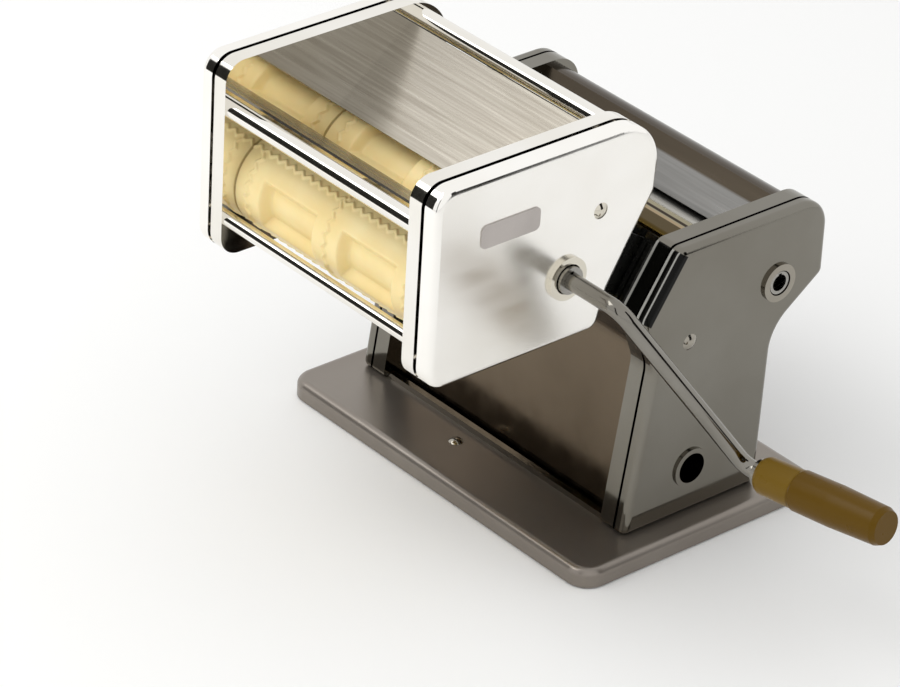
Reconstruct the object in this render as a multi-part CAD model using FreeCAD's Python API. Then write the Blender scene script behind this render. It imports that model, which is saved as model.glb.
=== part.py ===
import FreeCAD, Part
import math
import os

# Hand-cranked pasta roller with a ravioli attachment on its slanted front.
# Millimetres. X runs along the rollers (+X is the crank side), Y runs from the front to the back,
# Z is up, and the origin is the centre of the base on the table.

os.makedirs("parts", exist_ok=True)
V = FreeCAD.Vector

# Base tray
base_ledge = 14.0
base_deep = 154.0
base_high = 10.5
base_corner = 12.0
base_edge = 4.0
base_wall = 2.0
foot_radius = 9.0
foot_drop = 0.8
pad_radius = 12.0
screw_radius = 3.8
screw_high = 1.8

# Machine body across X
body_half = 99.0
side_space = 17.0
plate_thick = 2.0
shell_wall = 2.0
seam = 1.5
cover_depth = 6.5
cover_edge = 3.5

# Machine body outline in Y and Z
front_foot_y = -40.5
waist_y = -28.0
waist_z = 100.0
nose_y = -38.5
nose_z = 127.0
top_front_y = -17.0
top_z = 160.5
back_y = 79.5
back_low_z = 118.5
hip_y = 49.0
hip_z = 96.0
back_foot_y = 47.0
panel_set_back = 8.0
tie_radius = 4.0
tie_rise = 16.0
tie_front = 22.0
tie_rear = 12.0
tie_drop = 12.0
sheet = 1.2

# Smooth rollers
drive_y = 48.8
drive_z = 122.7
smooth_radius = 15.0
smooth_gap = 0.3
gap_travel = 2.7
smooth_shaft = 6.0
smooth_teeth = 14
block_wide = 18.0
block_high = 22.0

# Sloped rails, and the attachment's brackets in them
rail_wide = 20.0
rib_wide = 2.4
rib_high = 2.5
rib_pitch = 3.6
rib_step = 1.5
rail_back = 6.8
rail_front = 1.0
slot_in = 10.0
neck_wide = 3.6
head_wide = 6.6
head_thick = 2.4
bracket_low = 6.0
bracket_long = 30.0

# Ravioli attachment across X and its outline in Y and Z
att_plate_in = 5.0
att_plate_deep = 8.2
att_seam = 2.2
att_cover_deep = 8.6
att_front_y = -159.0
att_low_z = 126.0
att_top_z = 229.0
att_back_y = -24.0
att_corner = 11.0
att_hip = 38.5
att_round = 24.0
att_stand_off = 20.0
att_flare = 2.5
bar_radius = 4.75
bar_low_radius = 3.5
bar_front_in = 5.5
bar_front_down = 25.0
guide_back = 6.0
guide_up = 3.0
label_long = 35.0
label_high = 12.0
label_in = 44.5
label_down = 30.0
rivet_radius = 4.2
rivet_high = 1.5
rivet_in = 35.0
rivet_down = 39.0

# Forming rollers
former_y = -78.0
former_z = 161.0
former_spacing = 50.0
former_gap = 0.6
former_shaft = 7.0
former_teeth = 22
pocket_rows = 3
pocket_depth = 6.5
ridge = 17.0
ridge_row = 24.0
gear_wide = 6.0
gear_thin = 0.22

# Crank and grip
rod_radius = 4.25
key_wide = 1.8
key_high = 0.7
socket_deep = 20.0
crank_reach = 24.0
crank_out = 33.0
crank_drop = 88.0
crank_back = 58.0
crank_bend = 9.0
grip_gap = 11.0
grip_long = 74.0
grip_radius = 10.4
grip_splay = 0.09

# Setting knob
knob_radius = 17.0
knob_long = 20.0
knob_flutes = 24

# Clearances
run_fit = 0.08
slide_gap = 0.3
clear = 0.6


def save(name, shape):
    """Write one piece to its own STEP file and print its volume."""
    shape = shape.removeSplitter()
    shape.exportStep("parts/" + name + ".step")
    print(name, len(shape.Solids), round(shape.Volume, 1))


def fuse(pieces):
    """Join a list of touching solids into one."""
    body = pieces[0]
    for piece in pieces[1:]:
        body = body.fuse(piece)
    return body


def box(x0, x1, y0, y1, z0, z1):
    """Box between two opposite corners."""
    low = V(min(x0, x1), min(y0, y1), min(z0, z1))
    return Part.makeBox(abs(x1 - x0), abs(y1 - y0), abs(z1 - z0), low)


def rod(x0, x1, y, z, radius):
    """Cylinder along X."""
    return Part.makeCylinder(radius, abs(x1 - x0), V(min(x0, x1), y, z), V(1, 0, 0))


def tube(x0, x1, y, z, outer, inner):
    """Hollow cylinder along X."""
    return rod(x0, x1, y, z, outer).cut(rod(x0, x1, y, z, inner))


def dome(x, side, y, z, radius, high):
    """Low domed head that stands on a face at x and points to the given side."""
    ball = (radius * radius + high * high) / (2 * high)
    half = math.asin(radius / ball) / 2
    foot = V(x, y, z)
    rim = V(x, y, z + radius)
    top = V(x + side * high, y, z)
    mid = V(x + side * (high - ball + ball * math.cos(half)), y, z + ball * math.sin(half))
    arc = Part.Arc(rim, mid, top).toShape()
    section = Part.Face(Part.Wire([Part.makeLine(foot, rim), arc, Part.makeLine(top, foot)]))
    return section.revolve(foot, V(1, 0, 0), 360)


def corner_frame(corners, i):
    """Corner point, the unit directions to its two neighbours, and half the angle between them."""
    y, z, r = corners[i]
    p = V(0, y, z)
    before = corners[i - 1]
    after = corners[(i + 1) % len(corners)]
    a = V(0, before[0], before[1]) - p
    b = V(0, after[0], after[1]) - p
    a.normalize()
    b.normalize()
    return p, a, b, a.getAngle(b) / 2


def inset(corners, d):
    """Outline moved inwards by d, with each corner radius changed to match."""
    moved = []
    area = 0.0
    for i in range(len(corners)):
        area += corners[i - 1][0] * corners[i][1] - corners[i][0] * corners[i - 1][1]
    side = 1 if area > 0 else -1
    for i in range(len(corners)):
        p, a, b, half = corner_frame(corners, i)
        bend = 1 if b.cross(a).x * side > 0 else -1
        middle = a + b
        middle.normalize()
        q = p + middle * (bend * d / math.sin(half))
        moved.append((q.y, q.z, max(corners[i][2] - bend * d, 0.2)))
    return moved


def prism(corners, x0, x1):
    """Solid between x0 and x1 with a rounded outline given as (y, z, corner radius)."""
    ends = []
    for i in range(len(corners)):
        p, a, b, half = corner_frame(corners, i)
        r = corners[i][2]
        run = r / math.tan(half)
        middle = a + b
        middle.normalize()
        ends.append((p + a * run, p + middle * (r / math.sin(half) - r), p + b * run))
    edges = []
    for i in range(len(ends)):
        start, mid, stop = ends[i]
        if corners[i][2] > 0:
            edges.append(Part.Arc(start, mid, stop).toShape())
        follow = ends[(i + 1) % len(ends)][0]
        if (follow - stop).Length > 1e-6:
            edges.append(Part.makeLine(stop, follow))
    face = Part.Face(Part.Wire(edges))
    face.translate(V(min(x0, x1), 0, 0))
    return face.extrude(V(abs(x1 - x0), 0, 0))


def pan(corners, x_plate, x_rim, plate, wall):
    """Pressed pan: a plate at x_plate whose rim turns towards x_rim."""
    side = 1 if x_rim > x_plate else -1
    hollow = prism(inset(corners, wall), x_plate + side * plate, x_rim + side)
    return prism(corners, x_plate, x_rim).cut(hollow)


def round_face_edge(solid, x, radius):
    """Round every edge of a solid that lies in the plane at x."""
    edges = []
    for edge in solid.Edges:
        box_x = edge.BoundBox
        if abs(box_x.XMin - x) < 1e-4 and abs(box_x.XMax - x) < 1e-4:
            edges.append(edge)
    return solid.makeFillet(radius, edges)


def sheet_strip(path, thick, x0, x1):
    """Bent sheet: a path of (y, z, bend radius) given thickness to its left."""
    left = []
    right = []
    for i in range(len(path)):
        p = V(0, path[i][0], path[i][1])
        ways = []
        if i > 0:
            ways.append(p - V(0, path[i - 1][0], path[i - 1][1]))
        if i < len(path) - 1:
            ways.append(V(0, path[i + 1][0], path[i + 1][1]) - p)
        normals = []
        for way in ways:
            way.normalize()
            normals.append(V(0, -way.z, way.y))
        first = normals[0]
        last = normals[-1]
        q = p + (first + last) * (thick / (1 + first.dot(last)))
        r = path[i][2]
        turn = 1 if first.cross(last).x > 0 else -1
        inner = r if r == 0 else max(r - thick / 2 * turn, 0.2)
        outer = r if r == 0 else max(r + thick / 2 * turn, 0.2)
        left.append((q.y, q.z, inner))
        right.append((p.y, p.z, outer))
    return prism(right + left[::-1], x0, x1)


def gear(teeth, spacing, x0, x1, y, z, bore, turned):
    """Spur gear about an X axis; spacing is the centre distance to an equal gear."""
    module = spacing / teeth
    pitch = spacing / 2
    pressure = math.radians(20)
    base = pitch * math.cos(pressure)
    tip = pitch + 0.8 * module
    root = pitch - 1.15 * module
    half = math.pi / (2 * teeth) - gear_thin / pitch + math.tan(pressure) - pressure
    flank = [(root, half)] if root < base else []
    steps = 5
    low = max(base, root)
    for i in range(steps + 1):
        r = low + (tip - low) * i / steps
        angle = math.acos(min(base / r, 1.0))
        flank.append((r, half - math.tan(angle) + angle))
    points = []
    for i in range(teeth):
        centre = 2 * math.pi * (i + turned) / teeth
        for r, spread in flank:
            points.append((r, centre - spread))
        for r, spread in flank[::-1]:
            points.append((r, centre + spread))
    corners = []
    for r, angle in points:
        corners.append(V(x0, y + r * math.cos(angle), z + r * math.sin(angle)))
    face = Part.Face(Part.makePolygon(corners + corners[:1]))
    return face.extrude(V(x1 - x0, 0, 0)).cut(rod(x0, x1, y, z, bore))


def bent_rod(path, bend, radius):
    """Round rod along a path of points with rounded bends."""
    edges = []
    start = path[0]
    for i in range(1, len(path) - 1):
        a = path[i - 1] - path[i]
        b = path[i + 1] - path[i]
        a.normalize()
        b.normalize()
        half = a.getAngle(b) / 2
        run = bend / math.tan(half)
        middle = a + b
        middle.normalize()
        enter = path[i] + a * run
        leave = path[i] + b * run
        mid = path[i] + middle * (bend / math.sin(half) - bend)
        edges.append(Part.makeLine(start, enter))
        edges.append(Part.Arc(enter, mid, leave).toShape())
        start = leave
    edges.append(Part.makeLine(start, path[-1]))
    circle = Part.Wire(Part.makeCircle(radius, path[0], path[1] - path[0]))
    return Part.Wire(edges).makePipeShell([circle], True, False)


def keyed_rod(x0, x1, y, z, grow):
    """Round rod with one raised key on top, made larger all round by grow for its socket."""
    half = key_wide / 2 + grow
    key = box(x0, x1, y - half, y + half, z, z + rod_radius + key_high + grow)
    return rod(x0, x1, y, z, rod_radius + grow).fuse(key)


def on_slope(u, n):
    """Y and Z of a point u up the slanted front and n out of it."""
    y = nose_y + u * slope_y - n * slope_z
    z = nose_z + u * slope_z + n * slope_y
    return y, z


def slope_box(x0, x1, u0, u1, n0, n1):
    """Box that lies along the slanted front."""
    corners = []
    for u, n in ((u0, n0), (u1, n0), (u1, n1), (u0, n1)):
        y, z = on_slope(u, n)
        corners.append((y, z, 0))
    return prism(corners, x0, x1)


# Sizes that follow from the ones above
inner_half = body_half - side_space
base_wide = 2 * (body_half + base_ledge)
rail_inner = inner_half - rail_wide
slot_x = inner_half - slot_in
att_inner = slot_x - att_plate_in
att_rim = att_inner + att_plate_deep
att_half = att_rim + att_seam + att_cover_deep
crank_bend_x = body_half + crank_reach
slope_long = math.hypot(top_front_y - nose_y, top_z - nose_z)
slope_y = (top_front_y - nose_y) / slope_long
slope_z = (top_z - nose_z) / slope_long
cover_rim = body_half - cover_depth
plate_rim = cover_rim - seam
adjust_y = drive_y - 2 * smooth_radius - smooth_gap
smooth_spacing = drive_y - adjust_y
nip_y = (drive_y + adjust_y) / 2
former_radius = (former_spacing - former_gap) / 2
front_former_y = former_y - former_spacing
former_nip_y = former_y - former_spacing / 2
hole_low_y = (front_foot_y + back_foot_y) / 2 - 2.5
hole_low_z = base_high + 25.4

body_outline = [
    (front_foot_y, base_high, 3.0),
    (back_foot_y, base_high, 3.0),
    (hip_y, hip_z, 24.0),
    (back_y, back_low_z, 5.0),
    (back_y - 0.5, top_z, 16.0),
    (top_front_y, top_z, 6.0),
    (nose_y, nose_z, 9.0),
    (waist_y, waist_z, 16.0),
]

att_hip_out = att_stand_off + att_flare
att_hip_u = (att_top_z - att_hip - nose_z - att_hip_out * slope_y) / slope_z
att_slant_low = on_slope(10.0, att_stand_off)
att_slant_top = on_slope(att_hip_u, att_hip_out)
att_outline = [
    (att_front_y, att_low_z, att_corner),
    (att_slant_low[0] - 6.0, att_low_z, 7.0),
    (att_slant_low[0], att_slant_low[1], 14.0),
    (att_slant_top[0], att_slant_top[1], 10.0),
    (att_back_y + 1.0, att_top_z, att_round),
    (att_front_y, att_top_z, att_corner),
]

# Base tray on four rubber feet
tray = Part.makeBox(base_wide, base_deep, base_high - foot_drop,
                    V(-base_wide / 2, -base_deep / 2, foot_drop))
uprights = []
for edge in tray.Edges:
    if edge.BoundBox.ZLength > 1.0:
        uprights.append(edge)
tray = tray.makeFillet(base_corner, uprights)
rim = []
for edge in tray.Edges:
    if edge.BoundBox.ZMin > base_high - 1e-4:
        rim.append(edge)
tray = tray.makeFillet(base_edge, rim)
hollow = Part.makeBox(base_wide - 2 * base_wall, base_deep - 2 * base_wall,
                      base_high - base_wall, V(-base_wide / 2 + base_wall,
                                               -base_deep / 2 + base_wall, 0))
uprights = []
for edge in hollow.Edges:
    if edge.BoundBox.ZLength > 1.0:
        uprights.append(edge)
hollow = hollow.makeFillet(base_corner - base_wall, uprights)
roof = []
for edge in hollow.Edges:
    if edge.BoundBox.ZMin > base_high - base_wall - 1e-4:
        roof.append(edge)
hollow = hollow.makeFillet(base_edge - base_wall, roof)
save("base_plate", tray.cut(hollow))

feet = []
foot_x = base_wide / 2 - base_corner - foot_radius
foot_y = base_deep / 2 - base_corner - foot_radius
for sx in (-1, 1):
    for sy in (-1, 1):
        foot = Part.makeCylinder(foot_radius, base_high - base_wall, V(sx * foot_x, sy * foot_y, 0))
        feet.append(foot)
feet.append(Part.makeCylinder(pad_radius, base_high - base_wall, V(0, 0, 0)))
save("rubber_feet", Part.makeCompound(feet))

screws = []
screw_front = (front_foot_y - base_deep / 2) / 2 + 10.0
screw_rear = (back_foot_y + base_deep / 2) / 2
screw_ball = (screw_radius ** 2 + screw_high ** 2) / (2 * screw_high)
for y in (screw_front, screw_rear):
    ball = Part.makeSphere(screw_ball, V(-15.0, y, base_high + screw_high - screw_ball))
    screws.append(ball.common(Part.makeCylinder(screw_radius, screw_high + 1.0, V(-15.0, y, base_high))))
save("base_screws", Part.makeCompound(screws))

# Side plates, with bearing holes for the drive roller and slots for the sliding blocks
slot_y0 = adjust_y - block_wide / 2 - gap_travel - slide_gap
slot_y1 = adjust_y + block_wide / 2 + slide_gap
slot_z0 = drive_z - block_high / 2 - slide_gap
slot_z1 = drive_z + block_high / 2 + slide_gap
bush_outer = smooth_shaft + 3.5
tie_places = [
    (front_foot_y + tie_front, base_high + tie_rise),
    (back_foot_y - tie_rear, base_high + tie_rise),
    ((waist_y + hip_y) / 2 - tie_drop / 1.5, waist_z - tie_drop),
]
for side, name in ((-1, "left"), (1, "right")):
    plate = pan(body_outline, side * inner_half, side * plate_rim, plate_thick, shell_wall)
    x0 = side * (inner_half - 1.0)
    x1 = side * (inner_half + plate_thick + 1.0)
    plate = plate.cut(rod(x0, x1, drive_y, drive_z, bush_outer))
    plate = plate.cut(box(x0, x1, slot_y0, slot_y1, slot_z0, slot_z1))
    for y, z in tie_places:
        plate = plate.cut(rod(x0, x1, y, z, tie_radius))
    save("side_plate_" + name, plate)

# End covers: rounded pans that close the space where the gears run
collar_outer = 10.0
collar_inner = smooth_shaft + clear
hole_rim = 10.5
hole_bore = 8.0
hole_tube = 9.2
hole_deep = 9.0
locating = []
for side, name in ((-1, "left"), (1, "right")):
    blank = prism(body_outline, side * cover_rim, side * body_half)
    blank = round_face_edge(blank, side * body_half, cover_edge)
    hollow = prism(inset(body_outline, shell_wall), side * (cover_rim - 1.0),
                   side * (body_half - plate_thick))
    cover = blank.cut(hollow)
    x0 = side * (body_half - plate_thick - 1.0)
    x1 = side * (body_half + 1.0)
    hole_y = drive_y if side > 0 else adjust_y
    cover = cover.cut(rod(x0, x1, hole_y, drive_z, collar_outer - 2.0))
    cover = cover.cut(rod(x0, x1, hole_low_y, hole_low_z, hole_tube))
    save("end_cover_" + name, cover)
    x_face = side * body_half
    ring = tube(x_face - side * hole_deep, x_face, hole_low_y, hole_low_z, hole_tube, hole_bore)
    lip = tube(x_face, x_face + side * 1.2, hole_low_y, hole_low_z, hole_rim, hole_bore)
    locating.append(ring.fuse(lip))
save("locating_holes", Part.makeCompound(locating))

rivets = []
for side in (-1, 1):
    rivets.append(dome(side * body_half, side, waist_y + 21.0, waist_z + 8.5, rivet_radius, rivet_high))
save("cover_rivets", Part.makeCompound(rivets))

ring = tube(body_half - plate_thick, body_half, drive_y, drive_z, collar_outer - 2.0, collar_inner)
lip = tube(body_half, body_half + 1.5, drive_y, drive_z, collar_outer, collar_inner)
save("drive_collar", ring.fuse(lip))

bushes = []
for side in (-1, 1):
    x0 = side * (inner_half - 1.0)
    x1 = side * (inner_half + plate_thick + 2.0)
    bushes.append(tube(x0, x1, drive_y, drive_z, bush_outer, smooth_shaft + run_fit))
save("roller_bushes", Part.makeCompound(bushes))

ties = []
for y, z in tie_places:
    ties.append(rod(-inner_half - plate_thick, inner_half + plate_thick, y, z, tie_radius))
save("tie_rods", Part.makeCompound(ties))

# Sheet panels between the side plates
foot_y = front_foot_y + panel_set_back
panel_low = on_slope(1.0, -rail_back - sheet)
save("front_panel", sheet_strip([
    (panel_low[0], panel_low[1], 0),
    (waist_y + panel_set_back, waist_z, 14.0),
    (foot_y, base_high + sheet * 0.3, 0),
], sheet, -inner_half, inner_half))
save("foot_bar", box(-inner_half, inner_half, foot_y - 5.0, foot_y - 1.6, base_high, base_high + 3.0))

face_top = on_slope(slope_long - 3.0, -rail_back - sheet)
face_low = on_slope(2.0, -rail_back - sheet)
save("slant_plate", sheet_strip([
    (face_top[0], face_top[1], 0),
    (face_low[0], face_low[1], 0),
], -sheet, -inner_half, inner_half))

lid_z = top_z - 2.0
feed_rise = lid_z - drive_z - 1.15 * smooth_radius
feed_side = smooth_radius * 0.5
feed_low_z = drive_z + 1.15 * smooth_radius
lip_start = on_slope(slope_long - 2.6, -rail_back)
lip_fold = nip_y - feed_side - feed_rise
save("front_lip", sheet_strip([
    (lip_start[0] + 1.0, lip_start[1] - 1.0, 0),
    (lip_start[0] + 4.0, lid_z - sheet, 3.0),
    (lip_fold - 0.3, lid_z - sheet, 0),
], sheet, -inner_half, inner_half))
save("front_feed_plate", sheet_strip([
    (lip_fold, lid_z - sheet, 0),
    (nip_y - feed_side, feed_low_z, 0),
], sheet, -inner_half, inner_half))
save("rear_feed_plate", sheet_strip([
    (nip_y + feed_side, feed_low_z, 0),
    (nip_y + feed_side + feed_rise, lid_z - sheet, 0),
], sheet, -inner_half, inner_half))
save("rear_panel", sheet_strip([
    (nip_y + feed_side + feed_rise + 0.3, lid_z - sheet, 0),
    (back_y - 4.0, lid_z - sheet, 13.0),
    (back_y - 3.5, back_low_z + 2.0, 3.0),
    (back_y - 14.0, back_low_z - 5.6, 0),
], -sheet, -inner_half, inner_half))

# Scraper blades under the smooth rollers
blade_reach = smooth_radius + 2.5
for side, name, axis_y in ((1, "rear", drive_y), (-1, "front", adjust_y - gap_travel)):
    tip_y = axis_y - side * blade_reach * 0.5
    tip_z = drive_z - blade_reach * 0.87
    low_y = tip_y + side * 9.0
    blade = sheet_strip([(tip_y, tip_z, 0), (low_y, tip_z - 9.0, 0)], -side * sheet,
                        -inner_half, inner_half)
    save("scraper_" + name, blade)

# Black ribbed rails: each has a T slot that is open at the top and closed at the bottom
head_top = -rail_front - 1.7 - slide_gap
for side, name in ((-1, "left"), (1, "right")):
    rail = slope_box(side * rail_inner, side * inner_half, 0.5, slope_long, -rail_back, -rail_front)
    first = rail_inner + rib_wide / 2
    last = inner_half - rib_wide / 2
    ribs = [first, first + rib_pitch, last - rib_pitch, last]
    for i, x in enumerate(ribs):
        rib = slope_box(side * (x - rib_wide / 2), side * (x + rib_wide / 2), 0.5,
                        slope_long - i * rib_step, -rail_front, rib_high - rail_front)
        rail = rail.fuse(rib)
    neck = slope_box(side * (slot_x - neck_wide / 2 - slide_gap), side * (slot_x + neck_wide / 2 + slide_gap),
                     bracket_low - slide_gap, slope_long + 2.0, head_top - slide_gap, 2.0)
    head = slope_box(side * (slot_x - head_wide / 2 - slide_gap), side * (slot_x + head_wide / 2 + slide_gap),
                     bracket_low - slide_gap, slope_long + 2.0,
                     head_top - head_thick - slide_gap, head_top + slide_gap)
    save("rail_" + name, rail.cut(neck).cut(head))

# Attachment: inner plates, rounded covers, bars, hopper walls and strippers
former_bush = former_shaft + 3.0
former_places = (former_y, front_former_y)
bars = [
    ("bar_front_top", att_front_y + bar_front_in, att_top_z - bar_front_down, bar_radius),
    ("bar_front_low", att_front_y + 4.2, att_low_z + 20.0, bar_low_radius),
    ("bar_rear_top", att_back_y - 17.0, att_top_z - 8.0, bar_radius),
    ("bar_rear_low", att_slant_low[0] - 9.0, att_low_z + 11.0, bar_low_radius),
]
bushes = []
for side, name in ((-1, "left"), (1, "right")):
    plate = pan(att_outline, side * att_inner, side * att_rim, plate_thick, shell_wall)
    x0 = side * att_inner
    x1 = side * (att_inner + plate_thick)
    for y in former_places:
        plate = plate.cut(rod(x0, x1, y, former_z, former_bush))
        bushes.append(tube(x0, x1, y, former_z, former_bush, former_shaft + run_fit))
    save("attachment_plate_" + name, plate)
    cover_start = att_rim + att_seam
    blank = prism(att_outline, side * cover_start, side * att_half)
    blank = round_face_edge(blank, side * att_half, cover_edge)
    hollow = prism(inset(att_outline, shell_wall), side * (cover_start - 1.0),
                   side * (att_half - plate_thick))
    cover = blank.cut(hollow)
    if side > 0:
        cover = cover.cut(rod(cover_start, att_half + 1.0, former_y, former_z, former_shaft + 2.0))
    save("attachment_cover_" + name, cover)
save("former_bushes", Part.makeCompound(bushes))

ring = tube(att_half - plate_thick, att_half, former_y, former_z, former_shaft + 2.0, former_shaft + clear)
lip = tube(att_half, att_half + 2.0, former_y, former_z, former_shaft + 4.0, former_shaft + clear)
save("attachment_collar", ring.fuse(lip))

rivets = []
for side in (-1, 1):
    y = att_back_y - rivet_in
    z = att_top_z - rivet_down
    rivets.append(dome(side * att_half, side, y, z, rivet_radius, rivet_high))
save("attachment_rivets", Part.makeCompound(rivets))

label_y = att_front_y + label_in
label_z = att_top_z - label_down
corners = []
for sy, sz in ((-1, -1), (1, -1), (1, 1), (-1, 1)):
    corners.append((label_y + sy * label_long / 2, label_z + sz * label_high / 2, label_high / 4))
label = prism(corners, att_half, att_half + 0.6)
save("bare_label_plate", label)

for name, y, z, radius in bars:
    save(name, rod(-att_inner, att_inner, y, z, radius))

guide_z = former_z + former_radius + 1.0
guide_front = (att_front_y + bar_front_in + guide_back, att_top_z - bar_front_down + guide_up)
guide_rear = (att_back_y - 23.0, att_top_z - 10.0)
save("hopper_wall_front", sheet_strip([
    (former_nip_y - 13.5, guide_z, 0),
    (guide_front[0], guide_front[1], 0),
], -sheet, -att_inner, att_inner))
save("hopper_wall_rear", sheet_strip([
    (former_nip_y + 13.5, guide_z, 0),
    (guide_rear[0], guide_rear[1], 0),
], sheet, -att_inner, att_inner))

comb_out = former_radius + 1.2
comb_y = former_spacing / 2 - comb_out * 0.76
comb_z = former_z - comb_out * 0.65
combs = []
for side in (1, -1):
    tip = (former_nip_y + side * comb_y, comb_z, 0)
    low = (former_nip_y + side * (comb_y + 5.5), att_low_z + 1.5, 0)
    combs.append(sheet_strip([tip, low], side * sheet, -att_inner, att_inner))
save("strippers", Part.makeCompound(combs))

# Brackets that carry the attachment in the rails
for side, name in ((-1, "left"), (1, "right")):
    arm = slope_box(side * (slot_x - neck_wide / 2), side * (slot_x + neck_wide / 2),
                    bracket_low, bracket_low + bracket_long, head_top, 30.0)
    head = slope_box(side * (slot_x - head_wide / 2), side * (slot_x + head_wide / 2),
                     bracket_low, bracket_low + bracket_long, head_top - head_thick, head_top)
    foot = slope_box(side * (att_inner + 0.5), side * (att_rim - 0.5),
                     bracket_low + 4.0, bracket_low + bracket_long + 8.0, 14.0, 30.0)
    bracket = fuse([arm, head, foot])
    space = prism(att_outline, side * (att_inner - 5.0), side * (att_half + 5.0))
    save("bracket_" + name, bracket.cut(space))

# Forming rollers: ridges all round, and pockets between them
roller_half = att_inner - clear
pocket_wide = (2 * roller_half - 3 * ridge) / 2
pocket_angle = 360.0 / pocket_rows - math.degrees(ridge_row / former_radius)
pocket_floor = former_radius - pocket_depth


def former(y, first_angle):
    """Forming roller with pockets; first_angle turns the first pocket's middle."""
    body = tube(-roller_half, roller_half, y, former_z, former_radius, former_shaft)
    for side in (-1, 1):
        middle = side * (ridge + pocket_wide) / 2
        for row in range(pocket_rows):
            section = Part.makePlane(pocket_wide, former_radius - pocket_floor + 1.0,
                                     V(middle - pocket_wide / 2, y, former_z + pocket_floor))
            section.rotate(V(middle - pocket_wide / 2, y, former_z + pocket_floor), V(1, 0, 0), 90)
            axis = V(0, y, former_z)
            start = first_angle + row * 360.0 / pocket_rows - pocket_angle / 2
            section.rotate(axis, V(1, 0, 0), start)
            body = body.cut(section.revolve(axis, V(1, 0, 0), pocket_angle))
    return body


save("former_rear", former(former_y, -90.0))
save("former_front", former(front_former_y, 90.0))

gear_x1 = -(att_inner + plate_thick + 1.0)
gear_x0 = gear_x1 - gear_wide
shaft_out = att_half + 4.0
shaft = rod(gear_x0 - 0.5, shaft_out, former_y, former_z, former_shaft)
save("former_rear_shaft", shaft.cut(keyed_rod(shaft_out - socket_deep, shaft_out, former_y, former_z, run_fit)))
save("former_front_shaft", rod(gear_x0 - 0.5, att_inner + plate_thick, front_former_y, former_z, former_shaft))
save("former_rear_gear", gear(former_teeth, former_spacing, gear_x0, gear_x1,
                              former_y, former_z, former_shaft, 0.0))
save("former_front_gear", gear(former_teeth, former_spacing, gear_x0, gear_x1,
                               front_former_y, former_z, former_shaft, 0.5))

# Smooth rollers
smooth_half = inner_half - 1.0 - clear
save("drive_roller", tube(-smooth_half, smooth_half, drive_y, drive_z, smooth_radius, smooth_shaft))
save("adjust_roller", tube(-smooth_half, smooth_half, adjust_y, drive_z, smooth_radius, smooth_shaft))
spin_x1 = -(inner_half + plate_thick + 3.0)
spin_x0 = spin_x1 - gear_wide
out = body_half + 1.0
shaft = rod(spin_x0 - 0.5, out, drive_y, drive_z, smooth_shaft)
save("drive_shaft", shaft.cut(keyed_rod(out - socket_deep, out, drive_y, drive_z, run_fit)))
save("adjust_shaft", rod(spin_x0 - 0.5, inner_half + plate_thick + 2.0, adjust_y, drive_z, smooth_shaft))
save("drive_gear", gear(smooth_teeth, smooth_spacing, spin_x0, spin_x1, drive_y, drive_z, smooth_shaft, 0.0))
save("adjust_gear", gear(smooth_teeth, smooth_spacing, spin_x0, spin_x1, adjust_y, drive_z, smooth_shaft, 0.5))
for side, name in ((-1, "left"), (1, "right")):
    x0 = side * (inner_half - 1.0)
    x1 = side * (inner_half + plate_thick + 2.0)
    block = box(x0, x1, adjust_y - block_wide / 2, adjust_y + block_wide / 2,
                drive_z - block_high / 2, drive_z + block_high / 2)
    save("bearing_block_" + name, block.cut(rod(x0, x1, adjust_y, drive_z, smooth_shaft + run_fit)))

# Setting knob on the left cover
knob_x = -(body_half + clear + 2.0)
knob_bush = collar_outer - 2.0
save("knob_bush", fuse([
    tube(-body_half + plate_thick, -body_half, adjust_y, drive_z, knob_bush, 5.0 + run_fit),
    tube(-body_half, -body_half - 2.0, adjust_y, drive_z, collar_outer, 5.0 + run_fit),
]))
save("knob_shaft", rod(-body_half + plate_thick + 0.5, knob_x - knob_long + 4.0, adjust_y, drive_z, 5.0))
knob = rod(knob_x, knob_x - knob_long, adjust_y, drive_z, knob_radius)
knob = round_face_edge(knob, knob_x - knob_long, 2.5)
for i in range(knob_flutes):
    angle = 2 * math.pi * i / knob_flutes
    y = adjust_y + (knob_radius + 0.6) * math.cos(angle)
    z = drive_z + (knob_radius + 0.6) * math.sin(angle)
    knob = knob.cut(rod(knob_x - 3.0, knob_x - knob_long, y, z, 1.4))
knob = knob.cut(rod(knob_x, knob_x - knob_long + 4.0, adjust_y, drive_z, 5.0))
save("setting_knob", knob)

# Crank rod with its keyed end in the forming roller's socket, and the grip that turns on it
rod_in = shaft_out - socket_deep + 1.0
elbow = V(crank_bend_x + crank_out, former_y + crank_back, former_z - crank_drop)
way = V(1, grip_splay, grip_splay)
way.normalize()
grip_start = elbow + way * grip_gap
path = [
    V(rod_in, former_y, former_z),
    V(crank_bend_x, former_y, former_z),
    elbow,
    grip_start + way * (grip_long - 10.0),
]
crank = bent_rod(path, crank_bend, rod_radius)
crank = crank.fuse(keyed_rod(rod_in, shaft_out - 1.0, former_y, former_z, 0.0))
collar = Part.makeCylinder(rod_radius + 2.5, 2.7, grip_start - way * 3.0, way)
save("crank_rod", crank.fuse(collar))
hole = rod_radius + run_fit
profile = [
    (0.0, hole), (0.0, grip_radius * 0.80),
    (2.0, grip_radius * 0.90), (22.0, grip_radius * 0.93),
    (23.0, grip_radius * 0.98), (grip_long - 30.0, grip_radius),
    (grip_long - 3.0, grip_radius * 0.92), (grip_long, grip_radius * 0.80),
    (grip_long, 0.0), (grip_long - 9.0, 0.0), (grip_long - 9.0, hole),
]
corners = []
for x, r in profile + profile[:1]:
    corners.append(V(x, 0, r))
grip = Part.Face(Part.makePolygon(corners)).revolve(V(0, 0, 0), V(1, 0, 0), 360)
grip.Placement = FreeCAD.Placement(grip_start, FreeCAD.Rotation(V(1, 0, 0), way))
save("grip", grip)
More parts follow.
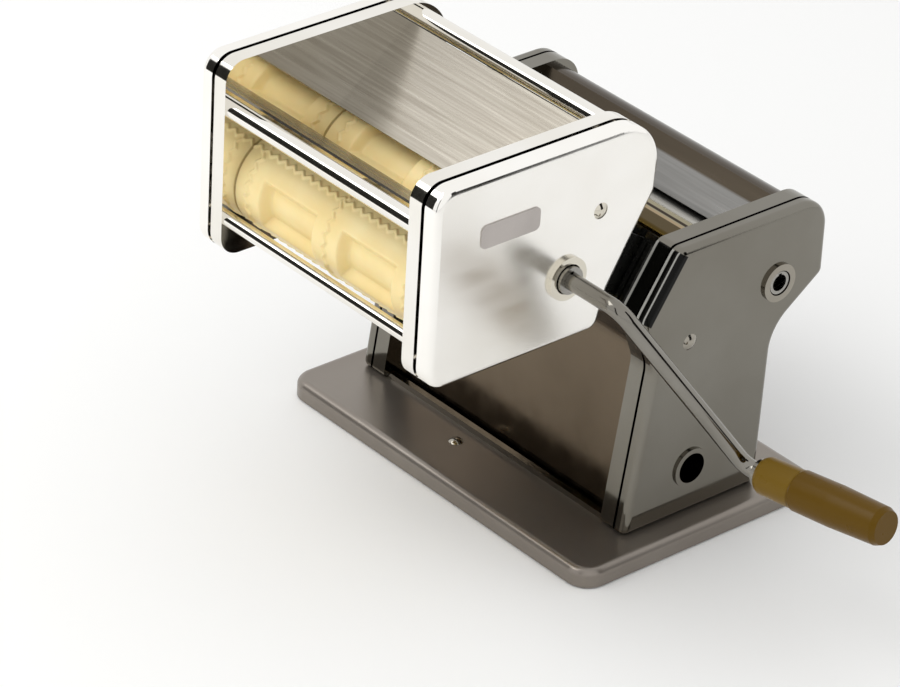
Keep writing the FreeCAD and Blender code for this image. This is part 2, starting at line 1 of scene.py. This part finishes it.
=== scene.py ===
# %% [markdown]
# # A pasta roller with its forming attachment
# This lesson dresses a finished solid model. The machine could be modelled again from nothing, but
# the solids already give every size. So each step only adds a finish, or swaps a plain solid for a
# finer mesh in the same place.

# %% Load the solids
import math
import bpy
from mathutils import Matrix, Vector


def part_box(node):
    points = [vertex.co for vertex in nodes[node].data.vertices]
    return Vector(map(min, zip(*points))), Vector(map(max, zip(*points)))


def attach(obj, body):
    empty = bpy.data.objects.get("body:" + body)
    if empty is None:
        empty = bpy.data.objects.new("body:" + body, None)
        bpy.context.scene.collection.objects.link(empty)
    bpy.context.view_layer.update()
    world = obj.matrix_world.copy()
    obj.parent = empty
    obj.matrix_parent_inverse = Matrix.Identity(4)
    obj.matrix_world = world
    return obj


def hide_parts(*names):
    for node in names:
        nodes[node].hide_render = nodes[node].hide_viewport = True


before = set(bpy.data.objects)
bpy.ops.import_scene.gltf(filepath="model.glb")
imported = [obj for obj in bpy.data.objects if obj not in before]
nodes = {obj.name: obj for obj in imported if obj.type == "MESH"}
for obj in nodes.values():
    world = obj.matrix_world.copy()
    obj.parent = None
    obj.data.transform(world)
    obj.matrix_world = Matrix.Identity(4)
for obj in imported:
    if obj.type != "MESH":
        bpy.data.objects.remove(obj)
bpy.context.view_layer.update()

scene = bpy.context.scene
scene.view_settings.view_transform = "Standard"


# %% [markdown]
# ## Colours and shader nodes
# Colours are given as hex codes, which are sRGB. The shader works in linear light, so one
# function converts them. Shader nodes could be placed by hand in the editor. Here one small function
# adds any node with its settings and links, so that a finish reads as a few lines of text.

# %% Colours and shader nodes
def linear(code):
    """Linear RGBA of an sRGB hex code."""
    channels = [int(code[i:i + 2], 16) / 255 for i in (1, 3, 5)]
    return tuple(c / 12.92 if c <= 0.04045 else ((c + 0.055) / 1.055) ** 2.4 for c in channels) + (1.0,)


def add(tree, kind, settings=None, links=None):
    """Add a shader node. Settings are attributes or input values, links are inputs fed by sockets."""
    node = tree.nodes.new(kind)
    for key, value in (settings or {}).items():
        if hasattr(node, str(key)):
            setattr(node, key, value)
        else:
            node.inputs[key].default_value = value
    for key, socket in (links or {}).items():
        tree.links.new(socket, node.inputs[key])
    return node


def start(name, settings):
    """New material; returns it, its node tree, its main shader and the object's coordinates."""
    material = bpy.data.materials.new(name)
    material.use_nodes = True
    tree = material.node_tree
    shader = tree.nodes["Principled BSDF"]
    for key, value in settings.items():
        shader.inputs[key].default_value = value
    place = add(tree, "ShaderNodeTexCoord").outputs["Object"]
    return material, tree, shader, place


print("mid grey in linear light", round(linear("#808080")[0], 3))

# %% [markdown]
# ## Patterns
# No real finish is one flat colour. A painted picture could carry the changes, but every solid would
# need unwrapping for it. Noise in the object's own coordinates needs none, and its scale is worked
# out from a size in millimetres. It can mix two colours, spread the roughness, or raise a relief.

# %% Patterns
def blotches(tree, place, size_mm, low=0.0, high=1.0, stretch=(1, 1, 1)):
    """Noise of a real size, spread between two values; stretch draws it out into streaks."""
    scaled = add(tree, "ShaderNodeMapping", {"Scale": stretch}, {"Vector": place})
    noise = add(tree, "ShaderNodeTexNoise", {"Scale": 1000 / size_mm, "Detail": 4.0},
                {"Vector": scaled.outputs["Vector"]})
    limits = {"From Min": 0.3, "From Max": 0.7, "To Min": low, "To Max": high}
    spread = add(tree, "ShaderNodeMapRange", limits, {"Value": noise.outputs["Fac"]})
    return spread.outputs["Result"]


def tint(tree, shader, factor, first, second):
    """Mix two colours by a factor into the main shader's base colour."""
    mix = add(tree, "ShaderNodeMix", {"data_type": "RGBA"}, {"Factor": factor})
    colours = [s for s in mix.inputs if s.type == "RGBA"]
    colours[0].default_value = linear(first)
    colours[1].default_value = linear(second)
    result = [s for s in mix.outputs if s.type == "RGBA"][0]
    tree.links.new(result, shader.inputs["Base Color"])


def relief(tree, shader, height, depth_mm, strength):
    """Bump the main shader by a height of a real depth."""
    settings = {"Strength": strength, "Distance": depth_mm / 1000}
    bump = add(tree, "ShaderNodeBump", settings, {"Height": height})
    tree.links.new(bump.outputs["Normal"], shader.inputs["Normal"])


def paint(material, names):
    """Give a material to solids by name, with smooth shading kept as imported."""
    for name in names:
        nodes[name].data.materials.clear()
        nodes[name].data.materials.append(material)
    print(material.name, "on", len(names), "pieces")

# %% [markdown]
# ## Smoked chrome body
# The body is pressed steel sheet, plated with chrome that has a dark, warm cast. Plating is very
# smooth, so it mirrors the room, with faint wiping marks and a slight waviness. One even roughness
# would be simpler, but it looks like glass, so roughness and relief both wander a little. The panel
# and the back are a shade browner, and the tray is paler and duller.

# %% Smoked chrome
TONE_MM = 60
WIPE_MM = 9
WAVINESS_MM = 25


def plated(name, first, second, rough, wiped=0.4, metal=1.0):
    """Plating in two close shades, with wiping marks in its roughness and a faint waviness."""
    material, tree, shader, place = start(name, {"Metallic": metal})
    tint(tree, shader, blotches(tree, place, TONE_MM), first, second)
    wipes = blotches(tree, place, WIPE_MM, rough * (1 - wiped), rough * (1 + wiped), (1, 0.25, 1))
    tree.links.new(wipes, shader.inputs["Roughness"])
    relief(tree, shader, blotches(tree, place, WAVINESS_MM), depth_mm=0.03, strength=0.25)
    return material


paint(plated("smoked_chrome", "#827F77", "#79756C", rough=0.10), ["locating_holes"])
paint(plated("smoked_chrome_panel", "#6C6051", "#5E5345", rough=0.16), ["front_panel"])
paint(plated("smoked_chrome_back", "#4E463C", "#443C33", rough=0.16), ["rear_panel"])
paint(plated("smoked_chrome_tray", "#8F8880", "#877F77", rough=0.30, wiped=0.05, metal=0.78),
      ["base_plate"])

# %% [markdown]
# ## Changing a finish at a place
# Some pieces change colour at an edge or a step. They could be cut in two, with a material for each
# half. A change inside one material keeps the piece whole, so these helpers open a finished material
# again, find a stretch of the piece by its distance along a direction, and lay a colour over it.

# %% Changing a finish at a place
X_AXIS = (1, 0, 0)
Y_AXIS = (0, 1, 0)


def reopen(material):
    """Node tree, main shader and object coordinates of a material that is already made."""
    tree = material.node_tree
    return tree, tree.nodes["Principled BSDF"], add(tree, "ShaderNodeTexCoord").outputs["Object"]


def between(tree, place, direction, low, high, soft=0.0002):
    """One where a point lies between two distances along a direction, zero outside, edges soft."""
    far = add(tree, "ShaderNodeVectorMath", {"operation": "DOT_PRODUCT", 1: direction}, {0: place})
    rise = add(tree, "ShaderNodeMapRange", {"From Min": low - soft, "From Max": low + soft},
               {"Value": far.outputs["Value"]})
    fall = add(tree, "ShaderNodeMapRange", {"From Min": high + soft, "From Max": high - soft},
               {"Value": far.outputs["Value"]})
    both = add(tree, "ShaderNodeMath", {"operation": "MULTIPLY"},
               {0: rise.outputs["Result"], 1: fall.outputs["Result"]})
    return both.outputs[0]


def overlay(tree, shader, factor, code):
    """Mix one more colour over what already feeds the main shader's base colour."""
    under = shader.inputs["Base Color"].links[0].from_socket
    mix = add(tree, "ShaderNodeMix", {"data_type": "RGBA"}, {"Factor": factor})
    colours = [s for s in mix.inputs if s.type == "RGBA"]
    tree.links.new(under, colours[0])
    colours[1].default_value = linear(code)
    result = [s for s in mix.outputs if s.type == "RGBA"][0]
    tree.links.new(result, shader.inputs["Base Color"])

# %% [markdown]
# ## Slanted edges of the body
# Plates and covers wear the smoked chrome. Along their slanted front edge a black band is painted in,
# as painted shade in the gap between plate and cover and a painted dark reflection on the rim, with a
# painted highlight as a pale line at each edge of the sheet. Distance out of the slope and distance
# along it find the edge. Folding the coordinates about the middle lets one line serve the left and the
# right side.
#
# NOSE is the foot of the slope. The black is PAINTED_DARK_DEEP deep and stops PAINTED_DARK_END short of the slope's
# two ends. PAINTED_HIGHLIGHT_LINES holds each line's start and end from the middle. All sizes are in metres.

# %% Slanted edges of the body
NOSE = Vector((0, -0.0385, 0.127))
SLOPE = Vector((0, 0.0215, 0.0335)).normalized()
OUT_OF_SLOPE = Vector((0, -SLOPE.z, SLOPE.y))
SLOPE_LONG = 0.0398
PAINTED_DARK_DEEP = 0.0055
PAINTED_DARK_ABOVE = 0.002
PAINTED_DARK_END = 0.001
PAINTED_HIGHLIGHT_LINES = ((0.0815, 0.0834), (0.0920, 0.0939), (0.0967, 0.0973))

edged = plated("smoked_chrome_body", "#827F77", "#79756C", rough=0.10)
tree, shader, place = reopen(edged)
surface = NOSE.dot(OUT_OF_SLOPE)
foot = NOSE.dot(SLOPE)
near = between(tree, place, OUT_OF_SLOPE, surface - PAINTED_DARK_DEEP, surface + PAINTED_DARK_ABOVE)
within = between(tree, place, SLOPE, foot + PAINTED_DARK_END, foot + SLOPE_LONG - PAINTED_DARK_END)
painted_dark_band = add(tree, "ShaderNodeMath", {"operation": "MULTIPLY"}, {0: near, 1: within}).outputs[0]
# Painted shade in the gap and a painted dark reflection on the rim, laid along the slanted edge.
overlay(tree, shader, painted_dark_band, "#0C0C0A")
folded = add(tree, "ShaderNodeVectorMath", {"operation": "ABSOLUTE"}, {0: place}).outputs["Vector"]
# Painted highlights: pale lines along the sheet edges inside the painted dark band.
for low, high in PAINTED_HIGHLIGHT_LINES:
    line = between(tree, folded, X_AXIS, low, high)
    painted_highlight = add(tree, "ShaderNodeMath", {"operation": "MULTIPLY"}, {0: painted_dark_band, 1: line})
    overlay(tree, shader, painted_highlight.outputs[0], "#BDBCB6")
metal_outside_dark_band = add(tree, "ShaderNodeMath", {"operation": "SUBTRACT", 0: 1.0}, {1: painted_dark_band})
tree.links.new(metal_outside_dark_band.outputs[0], shader.inputs["Metallic"])
shader.inputs["Specular IOR Level"].default_value = 0.1
paint(edged, ["end_cover_left", "end_cover_right", "side_plate_left", "side_plate_right"])

# %% [markdown]
# ## Lip of the roller slot
# The lip in front of the roller slot is a plain bent sheet, plated in a warm grey. Its front is
# bronze, and along it run a pale line of painted highlight and a dark line of painted shade. Small
# folds in the mesh could give such lines too. Colour was chosen because it leaves the solid's shape as
# it is. A band starts and ends in Y.

# %% Lip of the roller slot
LIP_BRONZE_AND_PAINTED_LIGHT = (
    (-0.0200, 0.0003, "#4B3D1C"),
    # painted highlight: the pale line along the lip
    (0.0003, 0.0021, "#9F8B6C"),
    # painted shade: the dark line along the lip
    (0.0029, 0.0048, "#261800"),
)
lip = plated("lip_chrome", "#9E967C", "#948C73", rough=0.14)
tree, shader, place = reopen(lip)
for low, high, code in LIP_BRONZE_AND_PAINTED_LIGHT:
    overlay(tree, shader, between(tree, place, Y_AXIS, low, high), code)
paint(lip, ["front_lip"])

# %% [markdown]
# ## Bright chrome attachment
# The attachment has the usual clear chrome. It mirrors the white room, so its own colour is a pale
# warm grey, and the detail comes from its rounded rims and the dark seam behind them. It is plated
# like the body, so the same function serves, with paler shades and a lower roughness.

# %% Bright chrome
paint(plated("bright_chrome", "#F2F0EB", "#E9E5DC", rough=0.06),
      ["attachment_plate_left", "attachment_plate_right", "bar_front_top", "bar_front_low",
       "bar_rear_top", "bar_rear_low"])

# %% [markdown]
# The covers are pressed from the same sheet. Their rounded rims are polished, and their flat faces
# are buffed to a satin, which blurs what stands in front of them. A second material on chosen faces
# could do that. Here X tells a flat face from a rim, because the face lies furthest out.

# %% Buffed covers
FACE_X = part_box("attachment_cover_right")[1].x
FACE_DEEP = 0.00035
FACE_SOFT = 0.00025
SATIN = 0.17
PAST_END = 0.01

covers = plated("buffed_chrome", "#FDFBF7", "#F4F1EA", rough=0.07)
tree, shader, place = reopen(covers)
folded = add(tree, "ShaderNodeVectorMath", {"operation": "ABSOLUTE"}, {0: place}).outputs["Vector"]
face = between(tree, folded, X_AXIS, FACE_X - FACE_DEEP, FACE_X + PAST_END, FACE_SOFT)
polish = shader.inputs["Roughness"].links[0].from_socket
blur = add(tree, "ShaderNodeMath", {"operation": "MULTIPLY_ADD", 1: SATIN}, {0: face, 2: polish})
tree.links.new(blur.outputs[0], shader.inputs["Roughness"])
paint(covers, ["attachment_cover_left", "attachment_cover_right"])

# %% [markdown]
# Collars, rivets, screws and rods are small steel pieces, plated too. They could share the material
# of the sheets, but they would then melt into them. Shades of their own set them apart.

# %% Collars, rivets, screws and rods
paint(plated("collar_chrome", "#A9A49A", "#8C867B", rough=0.12),
      ["drive_collar", "knob_bush", "cover_rivets", "base_screws"])
paint(plated("pale_collar_chrome", "#DDD8CB", "#CBC5B6", rough=0.10),
      ["attachment_collar", "attachment_rivets"])
paint(plated("crank_chrome", "#8B8881", "#7A766E", rough=0.10), ["crank_rod", "tie_rods", "foot_bar"])

# %% [markdown]
# ## Brushed steel
# Feed plates, hopper walls and scrapers are rolled sheet, and shafts and rollers are bar. Both are
# plain steel with fine lines along X, which stretch a reflection. An anisotropic shader could do the
# same. Noise drawn out along X was chosen because it also shows the lines, as tint and as relief.
# Real lines are well under a tenth of a millimetre wide, so they are drawn coarser, to show at all.

# %% Brushed steel
LINE_STRETCH = (0.02, 1, 1)
STREAK_STRETCH = (0.05, 1, 1)
STREAK_LINES = 8


def brushed(name, first, second, rough, grain_mm, metal=1.0):
    """Steel in two close shades, with fine lines along X."""
    material, tree, shader, place = start(name, {"Metallic": metal})
    lines = blotches(tree, place, grain_mm, stretch=LINE_STRETCH)
    tint(tree, shader, lines, first, second)
    streaks = blotches(tree, place, grain_mm * STREAK_LINES, rough * 0.8, rough * 1.3, STREAK_STRETCH)
    tree.links.new(streaks, shader.inputs["Roughness"])
    relief(tree, shader, lines, depth_mm=0.02, strength=0.4)
    return material


paint(brushed("rolled_steel", "#9A958B", "#837D73", rough=0.26, grain_mm=1.2),
      ["hopper_wall_front", "hopper_wall_rear", "scraper_front", "scraper_rear", "strippers"])
paint(brushed("warm_steel", "#BDB8A8", "#ADA796", rough=0.34, grain_mm=1.2, metal=0.2),
      ["front_feed_plate"])
paint(brushed("shaft_steel", "#A8A6A1", "#8F8C86", rough=0.22, grain_mm=0.6),
      ["former_front_shaft", "former_rear_shaft", "drive_shaft", "adjust_shaft", "knob_shaft"])
# The rollers are painted darker than bright steel, as painted shade of the slot they sit in.
paint(brushed("roller_steel_painted_shade", "#8C8A85", "#7E7C77", rough=0.34, grain_mm=0.9),
      ["drive_roller", "adjust_roller"])

# %% [markdown]
# The rear feed plate is smoked like the body. A brown band of painted shade runs along its upper edge,
# where it meets the rear panel. A strip of its own could carry that painted shade, but the plate is one
# sheet, so the colour changes along Y instead.

# %% Rear feed plate
UPPER_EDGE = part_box("rear_feed_plate")[1].y
PAINTED_SHADE_WIDE = 0.0070
PAINTED_SHADE_SOFT = 0.0005

feed = brushed("smoked_feed_steel", "#62615F", "#585755", rough=0.30, grain_mm=1.2)
tree, shader, place = reopen(feed)
painted_shade_band = between(tree, place, Y_AXIS, UPPER_EDGE - PAINTED_SHADE_WIDE, UPPER_EDGE + PAST_END, PAINTED_SHADE_SOFT)
# Painted shade along the upper edge, where the plate meets the rear panel.
overlay(tree, shader, painted_shade_band, "#38322A")
paint(feed, ["rear_feed_plate"])

# %% [markdown]
# ## Plastics, rubber and enamel
# Brackets and knob are black moulded plastic, gears and bushes are white nylon, the feet are rubber
# and the small plate is enamelled. All have a fine grain, which breaks up their shine. A picture of a
# grain could be tiled over them, but noise has no seams. Real grain is about a tenth of a millimetre,
# too fine to show here, so it is drawn close to one millimetre.

# %% Moulded plastics
SHADE_MM = 22
SHINE_MM = 6


def moulded(name, first, second, rough, grain_mm, depth_mm, more=None):
    """Plastic in two close shades, with a fine grain of a real depth."""
    material, tree, shader, place = start(name, more or {})
    tint(tree, shader, blotches(tree, place, SHADE_MM), first, second)
    shine = blotches(tree, place, SHINE_MM, rough * 0.85, rough * 1.2)
    tree.links.new(shine, shader.inputs["Roughness"])
    relief(tree, shader, blotches(tree, place, grain_mm), depth_mm, strength=0.5)
    return material


paint(moulded("black_plastic", "#0D0D0B", "#161613", rough=0.28, grain_mm=0.8, depth_mm=0.03),
      ["bracket_left", "bracket_right", "slant_plate"])
paint(moulded("white_nylon", "#E4E1D6", "#D6D1C2", rough=0.45, grain_mm=0.9, depth_mm=0.03),
      ["former_front_gear", "former_rear_gear", "drive_gear", "adjust_gear", "bearing_block_left",
       "bearing_block_right", "former_bushes", "roller_bushes"])
paint(moulded("knob_plastic", "#141414", "#1E1D1B", rough=0.30, grain_mm=0.7, depth_mm=0.03),
      ["setting_knob"])
paint(moulded("foot_rubber", "#1A1A19", "#242322", rough=0.75, grain_mm=0.6, depth_mm=0.06),
      ["rubber_feet"])
paint(moulded("grey_enamel", "#BDB6B1", "#B0A9A4", rough=0.35, grain_mm=1.0, depth_mm=0.02),
      ["bare_label_plate"])

# %% [markdown]
# The rails are the same black plastic, a little glossier. Their moulded edges aren't quite sharp, so
# each rib catches a thin line of light. The solids could carry that rounding, but it is tiny, and a
# bevel modifier adds it here with one width to set.

# %% Rails
RAILS = ["rail_left", "rail_right"]
RAIL_EDGE = 0.0004
SHARP = math.radians(50)
paint(moulded("rail_plastic", "#0B0B09", "#141411", rough=0.20, grain_mm=0.8, depth_mm=0.02), RAILS)
for name in RAILS:
    bevel = nodes[name].modifiers.new("soft_edges", "BEVEL")
    bevel.width = RAIL_EDGE
    bevel.segments = 2
    bevel.limit_method = "ANGLE"
    bevel.angle_limit = SHARP

# %% [markdown]
# ## Amber grip
# The grip is amber plastic, smooth with a soft shine. Its first part is a paler sleeve and the rest
# is darker. Two pieces could carry the two colours, but the grip is one piece, so the colour changes
# along X at the step between them.

# %% Amber grip
grip_low, grip_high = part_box("grip")
SLEEVE_END = grip_low.x + 0.0230
SLEEVE_SOFT = 0.0005

amber, tree, shader, place = start("amber_plastic", {"Specular IOR Level": 0.14})
darker = between(tree, place, X_AXIS, SLEEVE_END, grip_high.x + PAST_END, SLEEVE_SOFT)
tint(tree, shader, darker, "#705614", "#5D4302")
tree.links.new(blotches(tree, place, 8, 0.26, 0.38), shader.inputs["Roughness"])
relief(tree, shader, blotches(tree, place, 1.2), depth_mm=0.03, strength=0.4)
paint(amber, ["grip"])

# %% [markdown]
# ## Forming rollers
# Each forming roller is moulded plastic with pockets between lands, and a thin zigzag rib runs along
# the middle of every land. Booleans could cut the pockets and add the ribs, but slowly, and with poor
# edges. So the mesh is a height map wrapped round a cylinder: every point asks how far it is from the
# nearest land and from the nearest rib.
#
# LAND is the width of the rings, ROW_LAND that of the lands between rows, and POCKET is the depth of
# a pocket. WAVE and SWING are the length and half height of a zigzag. A rib's side falls from RIB_TOP
# to RIB_FOOT off its line, and a pocket's wall from WALL_TOP to WALL_FOOT inside its edge.

# %% Surface of a forming roller
LAND = 0.0170
ROW_LAND = 0.0240
ROWS = 3
POCKET = 0.0065
WALL_TOP = 0.0002
WALL_FOOT = 0.0042
WAVE = 0.0062
SWING = 0.0013
RIB_HIGH = 0.0009
RIB_TOP = 0.00032
RIB_FOOT = 0.0012


def zigzag(run):
    """Triangle wave of the rib's line, in metres to either side."""
    phase = (run / WAVE) % 1.0
    return SWING * (4 * abs(phase - 0.5) - 1)


def smooth(value, low, high):
    """Smooth step from 0 at low to 1 at high."""
    t = min(max((value - low) / (high - low), 0.0), 1.0)
    return t * t * (3 - 2 * t)


def surface_radius(x, angle, top, left, rings, first_angle):
    """Radius of the surface at a place along the roller and an angle round it."""
    turn_waves = round(2 * math.pi * top / WAVE)
    run = angle / (2 * math.pi) * turn_waves * WAVE
    ring_rib = min(abs(x - ring - zigzag(run)) for ring in rings)
    part = ((angle - first_angle) / (2 * math.pi) * ROWS + 0.5) % 1.0
    off_row = min(part, 1 - part) * 2 * math.pi * top / ROWS
    side = off_row if part < 0.5 else -off_row
    row_rib = abs(side - zigzag(x - left))
    off_ring = min(abs(x - ring) for ring in rings)
    wall = min(off_ring - LAND / 2, off_row - ROW_LAND / 2)
    rib = 1 - smooth(min(ring_rib, row_rib), RIB_TOP, RIB_FOOT)
    sunk = (POCKET - RIB_HIGH) * smooth(wall, WALL_TOP, WALL_FOOT)
    return top - RIB_HIGH + RIB_HIGH * rib - sunk


print("zigzag swings in mm", round(zigzag(0) * 1000, 1), round(zigzag(WAVE / 2) * 1000, 1))

# %% [markdown]
# The rollers are cream plastic that lets a little light in, which softens the edges of the pockets.
# Plain cream paint would look hard, so a small share of the light goes under the surface. Each mesh
# is as long and as wide as its solid, and its ends close onto the shaft. ACROSS and AROUND count its
# steps, fine enough for a rib.

# %% Forming rollers
ACROSS = 220
AROUND = 252
cream = moulded("cream_plastic", "#FAE6AC", "#F3DA98", rough=0.36, grain_mm=0.9, depth_mm=0.04,
                more={"Subsurface Weight": 0.12, "Subsurface Scale": 0.003})


def forming_roller(name, first_angle, body):
    """Replace a forming roller's solid by a mesh with pockets and ribs, riding on the same body."""
    low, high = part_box(name)
    shaft_low, shaft_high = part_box(name + "_shaft")
    shaft = (shaft_high.z - shaft_low.z) / 2
    top = (high.z - low.z) / 2
    centre_y = (low.y + high.y) / 2
    centre_z = (low.z + high.z) / 2
    rings = (low.x + LAND / 2, 0.0, high.x - LAND / 2)
    angles = [2 * math.pi * j / AROUND for j in range(AROUND)]

    def point(x, angle, radius):
        return x, centre_y + radius * math.cos(angle), centre_z + radius * math.sin(angle)

    verts = []
    for i in range(ACROSS + 1):
        x = low.x + (high.x - low.x) * i / ACROSS
        for angle in angles:
            verts.append(point(x, angle, surface_radius(x, angle, top, low.x, rings, first_angle)))
    faces = []
    for i in range(ACROSS):
        here = i * AROUND
        beyond = here + AROUND
        for j in range(AROUND):
            k = (j + 1) % AROUND
            faces.append((here + j, here + k, beyond + k, beyond + j))
    for x, ring, flip in ((low.x, 0, 1), (high.x, ACROSS, -1)):
        rim = ring * AROUND
        first = len(verts)
        verts.extend(point(x, angle, shaft) for angle in angles)
        for j in range(AROUND):
            k = (j + 1) % AROUND
            faces.append((rim + j, first + j, first + k, rim + k)[::flip])
    mesh = bpy.data.meshes.new(name + "_moulded")
    mesh.from_pydata(verts, [], faces)
    mesh.shade_smooth()
    mesh.materials.append(cream)
    piece = bpy.data.objects.new(name + "_moulded", mesh)
    scene.collection.objects.link(piece)
    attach(piece, body)
    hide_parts(name)
    print(piece.name, len(verts), "points, radius in mm", round(top * 1000, 2))


forming_roller("former_rear", 0.0, "rear_former_assembly")
forming_roller("former_front", math.pi, "front_former_assembly")

# %% [markdown]
# ## Room and floor
# Chrome mostly shows what is around it. A picture of a real room could surround the part, but a pale
# floor and an even white room keep its edges clear. The room is seen as pure white and lights a
# little less than that, so that shade under the part stays dark enough.

# %% Floor
FLOOR = 6
corners = [(-FLOOR, -FLOOR, 0), (FLOOR, -FLOOR, 0), (FLOOR, FLOOR, 0), (-FLOOR, FLOOR, 0)]
floor_mesh = bpy.data.meshes.new("floor")
floor_mesh.from_pydata(corners, [], [(0, 1, 2, 3)])
floor = bpy.data.objects.new("floor", floor_mesh)
scene.collection.objects.link(floor)
floor_paint = start("floor_paint", {"Roughness": 0.9, "Base Color": linear("#FBFBFA")})[0]
floor_mesh.materials.append(floor_paint)
print("floor", 2 * FLOOR, "m wide")

# %% Room
ROOM_LIGHT = 0.84
world = bpy.data.worlds.new("room")
world.use_nodes = True
scene.world = world
tree = world.node_tree
rays = add(tree, "ShaderNodeLightPath").outputs
seen = add(tree, "ShaderNodeMath", {"operation": "MAXIMUM"},
           {0: rays["Is Camera Ray"], 1: rays["Is Glossy Ray"]})
seen = add(tree, "ShaderNodeMath", {"operation": "MAXIMUM"},
           {0: seen.outputs[0], 1: rays["Is Transmission Ray"]})
level = add(tree, "ShaderNodeMapRange", {"To Min": ROOM_LIGHT, "To Max": 1.0},
            {"Value": seen.outputs[0]})
backdrop = tree.nodes["Background"]
backdrop.inputs["Color"].default_value = (1, 1, 1, 1)
tree.links.new(level.outputs["Result"], backdrop.inputs["Strength"])
print("room lights at", ROOM_LIGHT)

# %% [markdown]
# ## Lamp and flags
# A room that is white all round gives no direction. A sun would, but with hard shadows, so one large
# soft lamp stands to the left in front of the part and high above it.

# %% Lamp
LAMP_AIM = Vector((0, -0.05, 0.1))
lamp = bpy.data.lights.new("soft_lamp", "AREA")
lamp.shape = "RECTANGLE"
lamp.size = 1.2
lamp.size_y = 0.9
lamp.energy = 9.0
lamp_object = bpy.data.objects.new("soft_lamp", lamp)
lamp_object.location = (-0.6, -0.9, 1.4)
lamp_way = LAMP_AIM - lamp_object.location
lamp_object.rotation_euler = lamp_way.to_track_quat("-Z", "Y").to_euler()
scene.collection.objects.link(lamp_object)
print("lamp is", round(lamp_way.length, 2), "m away")

# %% [markdown]
# Chrome in an all-white room looks like white paint. A studio stands dark flags beside it, so that
# its rims mirror thin dark lines. Dark patches in the room's own colour could do it too, but flags are
# easier to place. Only reflections show them: the camera doesn't see them, and they cast no shade.
# Each flag has a place in X and Y, half its width, and its turn in degrees.

# %% Dark flags
FLAG_HIGH = 1.6
FLAGS = ((-0.9, -1.1, 0.25, -40), (0.55, -1.3, 0.10, 25), (1.3, 0.6, 0.30, 110))
flag_paint = start("flag_cloth", {"Roughness": 1.0, "Base Color": linear("#15130F")})[0]
for i, (x, y, half, turn) in enumerate(FLAGS):
    corners = [(-half, 0, 0), (half, 0, 0), (half, 0, FLAG_HIGH), (-half, 0, FLAG_HIGH)]
    flag_mesh = bpy.data.meshes.new("flag_%d" % i)
    flag_mesh.from_pydata(corners, [], [(0, 1, 2, 3)])
    flag_mesh.materials.append(flag_paint)
    flag = bpy.data.objects.new("flag_%d" % i, flag_mesh)
    flag.location = (x, y, 0.0)
    flag.rotation_euler = (0, 0, math.radians(turn))
    flag.visible_camera = False
    flag.visible_diffuse = False
    flag.visible_shadow = False
    scene.collection.objects.link(flag)
print(len(FLAGS), "flags")

# %% [markdown]
# ## Camera
# The camera is far away with a long lens, which keeps edges nearly parallel. It could be aimed by a
# tracking constraint, but that can't tip the picture, so its three directions are worked out here.
# AZIMUTH turns it round the part, ELEVATION lifts it, and ROLL tips the picture.

# %% Camera
AZIMUTH = math.radians(48.206)
ELEVATION = math.radians(30.632)
ROLL = math.radians(3.378)
DISTANCE = 2.25
flat = math.cos(ELEVATION)
back = Vector((math.sin(AZIMUTH) * flat, -math.cos(AZIMUTH) * flat, math.sin(ELEVATION)))
side = Vector((math.cos(AZIMUTH), math.sin(AZIMUTH), 0))
up = back.cross(side)
right = side * math.cos(ROLL) + up * math.sin(ROLL)
top = up * math.cos(ROLL) - side * math.sin(ROLL)
target = Vector((0, -0.070, 0.0811))
lens = bpy.data.cameras.new("camera")
lens.sensor_width = 36
lens.lens = 187.2
lens.clip_end = 20
camera = bpy.data.objects.new("camera", lens)
facing = Matrix((right, top, back)).transposed().to_4x4()
camera.matrix_world = Matrix.Translation(target + back * DISTANCE) @ facing
scene.collection.objects.link(camera)
scene.camera = camera
print("lens in mm", round(lens.lens, 1))
